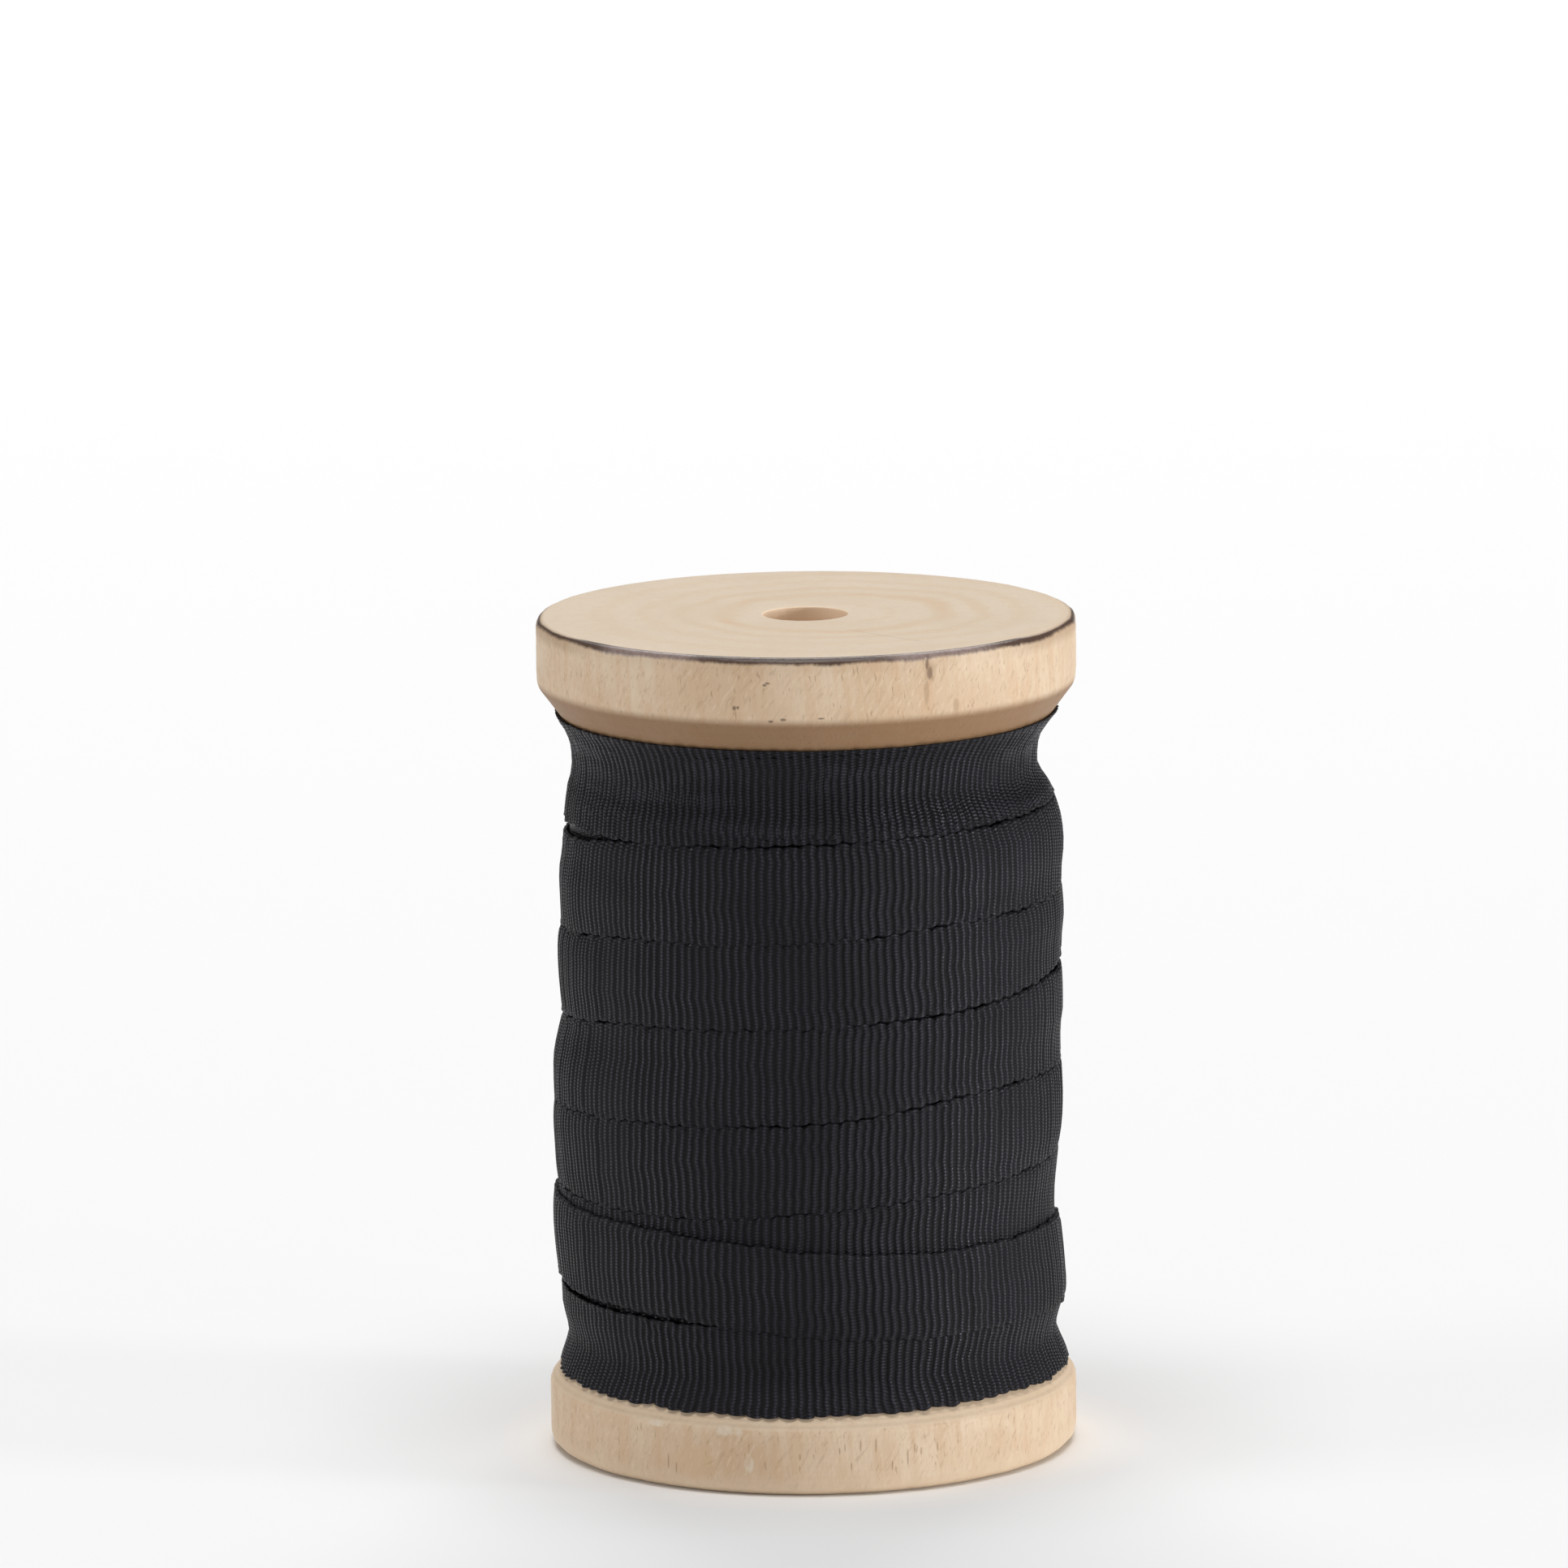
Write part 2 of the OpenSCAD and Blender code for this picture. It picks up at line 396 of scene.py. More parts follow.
# Painted light in the bore, far paler than the wood itself.
WOOD_HOLE_PAINTED_LIGHT = srgb(255, 228, 198)
# The ring's worn arcs: partly real wear, partly a painted lilac highlight.
WOOD_WORN_AND_SHEEN = srgb(146, 128, 124)

# Growth rings on the end faces, round a pith off the axis, as (radius, half width, strength).
PITH = (3.2, 0.5, 0.0)
RING_WARP = 5.0
GROWTH_RINGS = [
    (6.2, 1.8, 0.2), (12.6, 2.0, 0.7), (16.8, 1.6, 0.4), (21.0, 1.8, 0.25), (26.0, 2.2, 0.2),
]
# The knot and pits, and stains, on the upper rim, and torn spots on the lower one, each as
# (degrees from the front, height) and (width, depth, height) of half of it.
KNOT_AND_PITS = [
    ((26.6, 91.5), (0.4, 0.8, 0.9)), ((26.0, 92.5), (0.25, 0.6, 0.9)),
    ((-8.1, 91.0), (0.35, 0.5, 0.16)), ((-8.7, 90.8), (0.3, 0.5, 0.2)),
    ((-15.2, 88.2), (0.28, 0.4, 0.3)), ((-14.4, 88.25), (0.2, 0.4, 0.22)),
    ((-4.9, 87.0), (0.45, 0.6, 0.2)), ((-7.5, 86.8), (0.35, 0.6, 0.18)),
    ((3.0, 87.1), (0.5, 0.6, 0.12)),
]
STAINS = [
    ((25.9, 89.6), (0.4, 0.8, 2.4)), ((26.8, 91.6), (0.9, 1.0, 1.5)),
    ((33.0, 87.6), (0.5, 0.8, 1.0)),
]
TORN_SPOTS = [
    ((-19.5, 7.3), (1.3, 1.4, 0.8)), ((-16.5, 7.2), (0.7, 1.0, 0.6)),
    ((-36.0, 7.3), (1.6, 1.6, 0.5)), ((-14.0, 3.6), (0.7, 0.8, 1.2)),
]
# Open pores on the lower rim, as (degrees, height) and half their length.
OPEN_PORES = [
    ((10.0, 5.7), 0.9), ((13.4, 5.6), 1.1), ((20.5, 4.0), 1.3), ((22.1, 5.0), 0.8),
    ((23.6, 4.6), 0.6), ((17.0, 3.2), 0.7), ((8.0, 3.4), 0.6), ((-33.0, 3.2), 1.2),
    ((-31.0, 2.6), 0.9), ((5.5, 5.2), 0.5), ((27.5, 4.9), 0.7), ((-3.0, 4.6), 0.5),
]
# A hair crack on the upper end face and scuffs on the lower flange: two ends and a width.
SCRATCHES = [
    ((3.7, -10.0, SPOOL_H), (14.0, -20.7, SPOOL_H), 0.12),
    ((-13.2, -26.5, 2.6), (-9.6, -28.0, 4.6), 0.1),
    ((-11.0, -27.5, 4.4), (-9.9, -27.9, 6.3), 0.08),
]
# Heights and radii between which the wood's look changes: at the foot, which is painted light,
# the slanted faces, the painted shade under the upper flange, the turning lines and the
# painted-light hole.
FOOT_PAINTED_LIGHT_Z = (0.4, 3.4)
CONE_LOW_Z = (7.3, 7.6)
CONE_HIGH_Z = (86.0, 86.6)
SHADE_LOW_Z = (60.0, 70.0)
SHADE_HIGH_Z = (86.0, 87.2)
LINES_Z = (20.0, 50.0)
HOLE_R = (4.74, 4.86)
# The burnished ring: the heights its lower edge wanders between, its upper edge's height at
# the front and at the sides, the radii it fades in over, and the same for the smoke below it.
RING_LOW_Z = (92.5, 92.75)
RING_HIGH_Z = (93.9, 93.66)
RING_R = (28.9, 29.2)
RING_GRIT = 0.35
RING_FADE_LOW = 0.45
RING_FADE_HIGH = 0.15
SMOKE_Z = (91.4, 92.9)
SMOKE_R = (29.0, 29.5)
# It is darkest and broadest round this angle, and thins between these angles from there.
RING_MIDDLE = -2.0
RING_THINS = (42.0, 66.0)
RING_THINNER = 0.15
# Where it is worn and painted with a pale lilac highlight, as (middle, half width) in degrees.
WORN_SHEEN_ARCS = [(-36, 15), (31, 17), (118, 20), (-150, 25)]


def on_rim(degrees, z, r=TOP_R):
    """A place on a rim, from its angle and height."""
    angle = math.radians(degrees)
    return (r * math.sin(angle), -r * math.cos(angle), z)


def growth_rings(p, place, across):
    """Soft bands round a pith that lies off the axis."""
    warp = p.math("MULTIPLY", p.noise(place, 0.12, 3, 0.55), RING_WARP)
    to_pith = p.vector("LENGTH", p.vector("SUBTRACT", across, PITH))
    radius = p.math("SUBTRACT", p.math("ADD", to_pith, warp), RING_WARP / 2)
    bands = []
    for ring, half_width, strength in GROWTH_RINGS:
        away = p.math("ABSOLUTE", p.math("SUBTRACT", radius, ring))
        bands.append(p.math("MULTIPLY", strength, p.span(away, 0.1, half_width, 1.0, 0.0)))
    return p.either(bands)


def lower_flange_marks(p, place, z, fine, colour):
    """The lower flange's foot painted pale as painted light, open pores, torn spots and warm
    stain, laid on a colour.
    """
    # The foot is painted paler: painted light where the rounded bottom edge lies in shade.
    colour = p.mix(p.span(z, *FOOT_PAINTED_LIGHT_Z, 0.75, 0.0), colour, WOOD_LIGHT)
    pores = p.either([
        p.spot(place, on_rim(*where, BASE_R), (0.14, 0.5, half_length))
        for where, half_length in OPEN_PORES
    ])
    colour = p.mix(p.math("MULTIPLY", pores, 0.5), colour, WOOD_PORE)
    torn = p.either([p.spot(place, on_rim(*where, BASE_R), size) for where, size in TORN_SPOTS])
    torn = p.math("MULTIPLY", torn, p.span(fine, 0.35, 0.6, 0.3, 0.9))
    colour = p.mix(torn, colour, WOOD_END)
    warm_stain = p.spot(place, on_rim(-26.5, 3.4, BASE_R), (3.2, 2.4, 2.6))
    return p.mix(p.math("MULTIPLY", warm_stain, 0.55), colour, WOOD_RING)


def burnished_ring(p, place, across, radius, colour):
    """The dark ring round the upper edge, worn pale in places with a painted highlight there, laid
    on a colour.
    """
    x, y, z = p.split(place)
    angle = p.math("ARCTAN2", x, p.math("MULTIPLY", y, -1.0))
    angle = p.math("MULTIPLY", angle, 180 / math.pi)
    off_front = p.math("ABSOLUTE", p.math("SUBTRACT", angle, RING_MIDDLE))
    off_front = p.span(off_front, *RING_THINS)
    patchy = p.noise(across, 0.16, 3, 0.6)
    grit = p.noise(p.join(x, y, p.math("MULTIPLY", z, 0.4)), 2.6, 3, 0.65)

    # Worn arcs are painted pale lilac-grey: partly wear, partly a painted highlight.
    worn = p.either([
        p.span(p.math("ABSOLUTE", p.math("SUBTRACT", angle, middle)), half / 2, half, 1.0, 0.0)
        for middle, half in WORN_SHEEN_ARCS
    ])
    worn = p.math("MULTIPLY", worn, p.span(grit, 0.3, 0.6, 0.55, 0.95))

    low_edge = p.math("MULTIPLY", grit, RING_GRIT)
    low_edge = p.math("ADD", low_edge, p.span(patchy, 0.35, 0.6, *RING_LOW_Z))
    low_edge = p.math("ADD", low_edge, p.math("MULTIPLY", off_front, RING_THINNER))
    high_edge = p.span(off_front, 0.0, 1.0, *RING_HIGH_Z)
    high_start = p.math("SUBTRACT", high_edge, RING_FADE_HIGH)
    low_end = p.math("ADD", low_edge, RING_FADE_LOW)
    band = p.math("MULTIPLY", p.span(z, low_edge, low_end), p.span(radius, *RING_R))
    band = p.math("MULTIPLY", band, p.span(z, high_start, high_edge, 1.0, 0.0))

    smoke = p.math("MULTIPLY", p.span(z, *SMOKE_Z), p.span(radius, *SMOKE_R))
    smoke = p.math("MULTIPLY", smoke, p.span(off_front, 0.0, 1.0, 0.1, 0.4))
    colour = p.mix(smoke, colour, WOOD_PORE)
    ring_colour = p.mix(worn, WOOD_BURNT, WOOD_WORN_AND_SHEEN)
    return band, p.mix(p.math("MULTIPLY", band, 0.93), colour, ring_colour)


def wood_material():
    """Pale close-grained wood, its grain along the axis, with a burnished dark top edge."""
    p = Pattern("spool_wood")
    place = p.object_mm()
    x, y, z = p.split(place)
    across = p.join(x, y, 0.0)
    radius = p.vector("LENGTH", across)

    # Streaks along the axis, a little slanted, and short dark pores.
    streak_x = p.math("ADD", x, p.math("MULTIPLY", z, 0.10))
    streaks = p.noise(p.join(streak_x, y, p.math("MULTIPLY", z, 0.08)), 0.8, 4, 0.6)
    fine = p.noise(p.join(streak_x, y, p.math("MULTIPLY", z, 0.2)), 3.0, 3, 0.6)
    patches = p.noise(place, 0.09, 3, 0.55)
    pores = p.noise(p.join(streak_x, y, p.math("MULTIPLY", z, 0.22)), 3.4, 1, 0.4)
    pores = p.span(pores, 0.68, 0.76)
    # Sanding strokes lean to the right, and leave pale flecks and darker dents.
    lean_x = p.math("SUBTRACT", x, p.math("MULTIPLY", z, 0.55))
    strokes = p.noise(p.join(lean_x, y, p.math("MULTIPLY", z, 0.25)), 2.2, 2, 0.6)
    flecks = p.span(strokes, 0.56, 0.7)
    dents = p.span(strokes, 0.44, 0.3)

    # The side shows the grain's length, and the end faces paler end grain with growth rings.
    from_middle = p.math("ABSOLUTE", p.math("SUBTRACT", z, SPOOL_H / 2))
    on_side = p.span(from_middle, SPOOL_H / 2 - 0.3, SPOOL_H / 2, 1.0, 0.25)
    colour = p.mix(p.span(patches, 0.35, 0.65), WOOD_MAIN, WOOD_LIGHT)
    colour = p.mix(p.math("MULTIPLY", p.span(streaks, 0.4, 0.7), 0.55), colour, WOOD_WARM)
    colour = p.mix(p.math("MULTIPLY", p.span(fine, 0.45, 0.75), 0.3), colour, WOOD_WARM)
    colour = p.mix(p.span(on_side, 0.25, 1.0, 0.6, 0.0), colour, WOOD_END)
    rings = growth_rings(p, place, across)
    ring_share = p.math("MULTIPLY", rings, p.span(patches, 0.3, 0.62, 0.35, 1.0))
    colour = p.mix(ring_share, colour, WOOD_RING)
    for mask, share, tint in (
            (flecks, 0.65, WOOD_LIGHT), (dents, 0.22, WOOD_PORE), (pores, 0.4, WOOD_PORE)):
        colour = p.mix(p.math("MULTIPLY", p.math("MULTIPLY", mask, on_side), share), colour, tint)

    # The slanted face under the upper flange gets painted shade, and the hole is painted pale and
    # warm as painted light.
    under = p.math("MULTIPLY", p.span(z, *SHADE_HIGH_Z, 1.0, 0.0), p.span(z, *SHADE_LOW_Z))
    colour = p.mix(p.math("MULTIPLY", under, 0.85), colour, WOOD_PAINTED_SHADE)
    in_hole = p.span(radius, *HOLE_R, 1.0, 0.0)
    colour = p.mix(p.math("MULTIPLY", in_hole, 0.95), colour, WOOD_HOLE_PAINTED_LIGHT)

    # Turning lines run round the spool and show most on the slanted faces.
    across_lines = p.join(p.math("MULTIPLY", radius, 2.2), p.math("MULTIPLY", z, 2.2), 0.0)
    lines = p.noise(across_lines, 1.0, 2, 0.5)
    on_cone = p.math("MULTIPLY", p.span(z, *CONE_LOW_Z), p.span(z, *CONE_HIGH_Z, 1.0, 0.0))
    pale_share = p.span(z, *LINES_Z, 0.6, 0.0)
    colour = p.mix(p.math("MULTIPLY", on_cone, pale_share), colour, WOOD_LIGHT)
    dark_lines = p.math("MULTIPLY", p.span(lines, 0.45, 0.65), p.span(z, *LINES_Z, 0.14, 0.3))
    colour = p.mix(p.math("MULTIPLY", dark_lines, on_cone), colour, WOOD_PORE)

    # The knot, small pits and stains on the upper rim, then the lower flange and scratches.
    pits = p.either([p.spot(place, on_rim(*where), size) for where, size in KNOT_AND_PITS])
    colour = p.mix(p.math("MULTIPLY", pits, 0.62), colour, WOOD_BURNT)
    stains = p.either([p.spot(place, on_rim(*where), size) for where, size in STAINS])
    colour = p.mix(p.math("MULTIPLY", stains, 0.35), colour, WOOD_PORE)
    colour = lower_flange_marks(p, place, z, fine, colour)
    scratches = p.either([p.scratch(place, *scratch) for scratch in SCRATCHES])
    colour = p.mix(p.math("MULTIPLY", scratches, 0.4), colour, WOOD_PORE)
    band, colour = burnished_ring(p, place, across, radius, colour)
    p.put(p.shader.inputs["Base Color"], colour)

    # The burnished ring is smoother than the bare wood.
    roughness = p.math("ADD", 0.5, p.math("MULTIPLY", fine, 0.12))
    roughness = p.math("SUBTRACT", roughness, p.math("MULTIPLY", band, 0.27))
    p.put(p.shader.inputs["Roughness"], roughness)
    p.shader.inputs["Specular IOR Level"].default_value = 0.35

    height = p.math("MULTIPLY", lines, 0.5)
    for relief, depth in (
            (streaks, 0.6), (fine, 0.5), (strokes, 0.4), (pores, -0.5), (pits, -1.2)):
        height = p.math("ADD", height, p.math("MULTIPLY", relief, depth))
    p.bump(height, 0.35, 0.0002)
    return p.material


# ---------------------------------------------------------------- the ribbon

# Width of the ribbon as it lies, and its thickness.
RIBBON_W = 9.75
RIBBON_T = 0.36
RIBS_PER_TURN = 188
STEPS_PER_RIB = 6
RIB_HEIGHT = 0.26
# The ribs' feet lie this far below the ribbon's face.
RIB_SINK = 0.1
# Ribs and loops vary in size, from a list of this many random sizes.
RIB_VARIATION = 0.12
LOOP_JITTER = 0.045
SIZE_COUNT = 4096
# Times a rib's height that a loop has, the width of the zone of loops along each edge, and how
# far the edge is drawn in between two loops.
LOOP_RISE = 1.15
EDGE_ZONE = 0.75
SCALLOP = 0.17
# How far both edges curl in, how far the upper edge sinks under the turn above, over which
# width, and how far it reaches beneath that turn.
CROWN = 0.11
TUCK = 0.1
TUCK_ZONE = 0.8
OVERLAP = 0.14
# The most that a band gets narrower or wider to meet the turn above.
MOST_NARROWER = -1.0
MOST_WIDER = 1.02
# Room left for the ribs under the winding's face, room between ribbon and wood, and how far
# from there the ribbon's front keeps where the wood would push through it.
RIB_CLEARANCE = 0.26
WOOD_CLEARANCE = 0.04
LEAST_SKIN = 0.25
# How the edges wander and how the ribbon leans, bows, is lumpy and ripples, each as (height,
# length of the bumps, seed). Lengths are in ribs along it, and in mm across it for the ripple.
LOW_WANDER = [(0.12, 37, 21), (0.09, 3.2, 22)]
HIGH_WANDER = [(0.08, 29, 23), (0.09, 2.7, 24)]
LEAN = [(0.35, 60, 25), (0.12, 9, 26)]
BOW = [(0.25, 45, 27)]
LUMPS = [(0.07, 17, 28)]
RIPPLE = [(0.11, 1.5, 30)]
# The edges of the ribbon are rounded over this width, and its skin is thinner there.
ROUND_ZONE = 0.16
ROUND_THINNER = 0.35
# Share of a row of the baking map left free on each side of a strip.
BAKE_MARGIN = 0.04
# Places along the ribbon, in turns, where its visible strips start and end.
OUTER_START = -0.3
OUTER_END = 7.45
LAST_END = 9.48
# Usual radius of the winding's face, for lengths along it.
WINDING_R = 28
# Places of the mesh's rows across the ribbon, from an edge to near its middle.
ROWS_FROM_EDGE = [0, 0.1, 0.26, 0.45, 0.7, 1.0, 1.5, 2.4, 3.6]

# Height of the ribbon's lower edge along its way, as (turns, mm).
LOWER_EDGE = [
    (-0.3, 73.4), (0.78, 73.1), (1.0, 72.6), (1.12, 71.7), (1.22, 71.3), (1.5, 67.3),
    (1.78, 63.0), (1.9, 62.8), (2.0, 61.7), (2.1, 61.2), (2.22, 59.3), (2.5, 57.1),
    (2.78, 54.8), (2.86, 53.4), (3.0, 52.2), (3.1, 51.5), (3.22, 49.5), (3.5, 46.5),
    (3.78, 43.4), (3.86, 43.5), (4.0, 41.6), (4.12, 40.6), (4.25, 39.3), (4.5, 36.4),
    (4.79, 33.4), (4.9, 32.7), (5.0, 31.5), (5.1, 30.3), (5.25, 30.0), (5.5, 27.0),
    (5.78, 23.4), (6.0, 21.2), (6.22, 19.9), (6.5, 16.8), (6.78, 12.8), (7.0, 10.6),
    (7.22, 9.3), (7.5, 8.95), (8.2, 8.9), (8.5, 11.4), (8.78, 16.1), (8.95, 16.9),
    (9.12, 19.2), (9.3, 19.6), (9.48, 20.9),
]
# Radius of the winding's face by height, for the outer layer, for the turn that lies over
# it at the lower flange, and for the last turn that climbs back over both.
OUTER_FACE = [
    (9, 28.0), (10.6, 27.4), (12.8, 26.75), (14.2, 26.9), (16.3, 27.45), (19, 27.5),
    (24, 27.8), (28, 27.85), (33, 28.2), (38, 28.55), (43, 28.5), (48, 28.1), (54, 28.2),
    (62, 28.15), (70, 27.95), (72.1, 27.6), (74.3, 27.05), (75.8, 26.3), (77.3, 25.95),
    (79, 26.05), (81.5, 26.95), (83.3, 28.0),
]
LOW_FACE = [
    (8.8, 28.5), (9.5, 28.35), (11.4, 27.6), (12.8, 27.2), (14.2, 27.4), (16.3, 27.95),
    (19, 28.05),
]
LAST_FACE = [
    (9, 28.95), (10.6, 28.4), (12.8, 27.7), (14.2, 27.85), (16.3, 28.4), (18, 28.5),
    (26, 28.45), (31, 28.35),
]
# How much further out the winding stands on its right than in the middle, by height.
RIGHT_LEAN = [
    (9, 0.15), (14, 0), (17, 0.1), (20, -0.1), (28, -0.6), (36, -0.3), (44, -0.25), (47, 0),
    (49, 0.3), (57, 0.1), (60, 0.35), (65, 0.2), (68, 0.5), (73, 0.35), (75, 0), (77, -0.3),
]


def face_radius(turns, z, angle):
    """Radius of the ribbon's face at a place along the ribbon and a height."""
    r = curve(OUTER_FACE, z) - RIB_CLEARANCE
    r = r + (curve(LOW_FACE, z) - r) * ease(turns, 7.25, 7.45)
    r = r + (curve(LAST_FACE, z) - r - RIB_CLEARANCE) * ease(turns, 8.3, 8.55)
    return r + curve(RIGHT_LEAN, z) * np.sin(angle)


def beside_turn_above(turns):
    """1 where the ribbon's upper edge meets the lower edge of the turn above it."""
    return ease(turns, 1.2, 1.5) * (1 - ease(turns, 7.15, 7.3))


def band_width(turns):
    """Width that the ribbon takes up: it is tucked a little under the turn above it."""
    room = curve(LOWER_EDGE, turns - 1) - curve(LOWER_EDGE, turns) - RIBBON_W
    change = np.clip(room + OVERLAP, MOST_NARROWER, MOST_WIDER)
    return RIBBON_W + change * beside_turn_above(turns)


def rib_height(ribs, across, width):
    """Height of the ribbed face, and how far each edge is drawn in, by place on the ribbon.

    The ribs run across the ribbon. At each edge the weft turns back, so that two ribs run
    together into one loop, with the pairs shifted by one rib from one edge to the other.
    """
    random = np.random.default_rng(11)
    rib = np.floor(ribs).astype(int)
    sizes = random.normal(1, RIB_VARIATION, SIZE_COUNT)
    single = np.sin(math.pi * (ribs % 1)) ** 0.6 * sizes[rib % SIZE_COUNT]
    low_pair = np.abs(np.sin(math.pi * ribs / 2)) ** 0.5
    low_pair = low_pair * sizes[(rib // 2 + 900) % SIZE_COUNT]
    high_pair = np.abs(np.cos(math.pi * ribs / 2)) ** 0.5
    high_pair = high_pair * sizes[((rib + 1) // 2 + 1900) % SIZE_COUNT]
    uneven = random.normal(0, LOOP_JITTER, SIZE_COUNT)
    near_low = 1 - ease(across, 0.25, EDGE_ZONE)
    near_high = 1 - ease(width - across, 0.25, EDGE_ZONE)
    loops = low_pair * near_low + high_pair * near_high
    height = RIB_HEIGHT * (single * (1 - near_low - near_high) + LOOP_RISE * loops)
    drawn_low = SCALLOP * (1 - low_pair) + uneven[(rib // 2) % SIZE_COUNT]
    drawn_high = SCALLOP * (1 - high_pair) + uneven[((rib + 1) // 2 + 2000) % SIZE_COUNT]
    return height, drawn_low, drawn_high


def strip_faces(columns, around):
    """Quads of a closed strip of rings, and of its two square-cut ends."""
    column, spot = np.meshgrid(np.arange(columns - 1), np.arange(around), indexing="ij")
    beside = (spot + 1) % around
    corners = [(column, spot), (column, beside), (column + 1, beside), (column + 1, spot)]
    sides = np.stack([c * around + s for c, s in corners], -1).reshape(-1, 4)
    half = around // 2
    k = np.arange(half - 1)
    start = np.stack([k, around - 1 - k, around - 2 - k, k + 1], -1)
    end = start[:, ::-1] + (columns - 1) * around
    return np.concatenate([sides, start, end])


def strip_uvs(turns, distance, row_turns, around):
    """The ribbon's two UV maps: ribs and mm across for the weave, and rows for baking."""
    columns = len(turns)
    column, spot = np.meshgrid(np.arange(columns - 1), np.arange(around), indexing="ij")
    half = around // 2
    back = spot >= half - 1
    steps = int(round(row_turns * (columns - 1) / (turns[-1] - turns[0])))
    row = column // steps
    rows = row.max() + 1
    used = 1 - 2 * BAKE_MARGIN
    u_corner = [column, column, column + 1, column + 1]
    s_corner = [spot, spot + 1, spot + 1, spot]
    weave = []
    bake = []
    for c, s in zip(u_corner, s_corner):
        beside = s % around
        weave.append(np.stack([turns[c] * RIBS_PER_TURN, distance[beside]], -1))
        share = np.where(back, (s - half + 1) / half, s / half)
        bake.append(np.stack([
            (c - row * steps) / steps,
            (row + np.where(back, rows, 0) + BAKE_MARGIN + used * share) / (2 * rows),
        ], -1))
    ends = 2 * (half - 1)
    weave = np.stack(weave, 2).reshape(-1, 2)
    bake = np.stack(bake, 2).reshape(-1, 2)
    blank = np.zeros((ends * 4, 2))
    return {"weave": np.concatenate([weave, blank]), "OFBake": np.concatenate([bake, blank])}


def make_strip(name, turns, rows, front, back, z, angle, row_turns):
    """A closed strip from its front and back radius at each row of each column."""
    ring_r = np.concatenate([front, back[:, ::-1]], 1)
    ring_z = np.concatenate([z, z[:, ::-1]], 1)
    ring_angle = np.concatenate([angle, angle[:, ::-1]], 1)
    points = np.stack([ring_r * np.sin(ring_angle), -ring_r * np.cos(ring_angle), ring_z], -1)
    distance = np.concatenate([rows, rows[::-1]]) * RIBBON_W
    around = 2 * len(rows)
    faces = strip_faces(len(turns), around)
    uvs = strip_uvs(turns, distance, row_turns, around)
    strip = new_mesh(name, points.reshape(-1, 3), faces, uvs)
    turn_faces_outwards(strip)
    return strip


def turn_faces_outwards(strip):
    """Makes every face of a closed strip point away from its inside."""
    work = bmesh.new()
    work.from_mesh(strip.data)
    bmesh.ops.recalc_face_normals(work, faces=work.faces)
    work.to_mesh(strip.data)
    work.free()


def ribbed_strip(name, start, end):
    """A stretch of the visible ribbon, with its ribs, looped edges and a flat back."""
    columns = int(round((end - start) * RIBS_PER_TURN * STEPS_PER_RIB)) + 1
    turns = np.linspace(start, end, columns)
    half_rows = np.array(ROWS_FROM_EDGE) / RIBBON_W
    rows = np.concatenate([half_rows, [0.5], 1 - half_rows[::-1]])
    width = band_width(turns)[:, None]
    lower = curve(LOWER_EDGE, turns)[:, None]
    ribs = (turns * RIBS_PER_TURN)[:, None]
    place = np.broadcast_to(rows, (columns, len(rows)))
    across = place * width
    height, drawn_low, drawn_high = rib_height(ribs, across, width)

    low_z = lower + unevenness(ribs, LOW_WANDER) + drawn_low
    under_flange = 1 - ease(turns[:, None], 1.0, 1.3)
    high_z = lower + width + unevenness(ribs, HIGH_WANDER) * (1 - under_flange)
    high_z = high_z - drawn_high * (1 - 0.7 * under_flange)
    z = low_z + (high_z - low_z) * place

    shift = unevenness(ribs, LEAN) * (place - 0.5)
    shift = shift + unevenness(ribs, BOW) * (4 * place * (1 - place) - 0.5)
    ripple = unevenness(across + 4 * drift(ribs, 50, 29), RIPPLE)
    angle = -2 * math.pi * turns[:, None] + (shift + ripple) / WINDING_R

    edge = np.abs(2 * place - 1)
    lumps = unevenness(ribs + 9 * place, LUMPS) * (1 - edge ** 4)
    tucked = 0.25 + 0.75 * beside_turn_above(turns)[:, None]
    sunk = CROWN * edge ** 2.5 + TUCK * tucked * (1 - ease(width - across, 0.0, TUCK_ZONE))
    face = face_radius(turns[:, None], z, angle) - sunk + lumps
    rounding = np.clip(1 - across / ROUND_ZONE, 0, 1)
    rounding = rounding + np.clip(1 - (width - across) / ROUND_ZONE, 0, 1)
    skin = RIBBON_T * (1 - ROUND_THINNER * rounding ** 2)
    wood = wood_radius(z) + WOOD_CLEARANCE
    back = np.maximum(face - RIBBON_T, wood)
    front = np.maximum(face - RIBBON_T + skin, wood + LEAST_SKIN) + height - RIB_SINK

    row_turns = 1.0 if end - start > 4 else 0.5
    return make_strip(name, turns, rows, front, back, z, angle, row_turns)


# The buried turns, which lie in even layers from the barrel out.
BURIED_IN_R = 15.35
BURIED_OUT_R = 27.2
BURIED_LAYERS = 29
BURIED_T = 0.3
# Steps drawn for a turn, and the height that a turn climbs.
BURIED_STEPS = 36
BURIED_PITCH = 9.9
# How far they keep off the flanges and the wood, and lie below the outer layer's face.
BURIED_END_GAP = 0.4
BURIED_WOOD_GAP = 0.05
BURIED_DEPTH = 0.88
# Rows of the mesh across the ribbon, and rows of the baking map for its length.
BURIED_ROWS = 4
BURIED_MAP_ROWS = 12


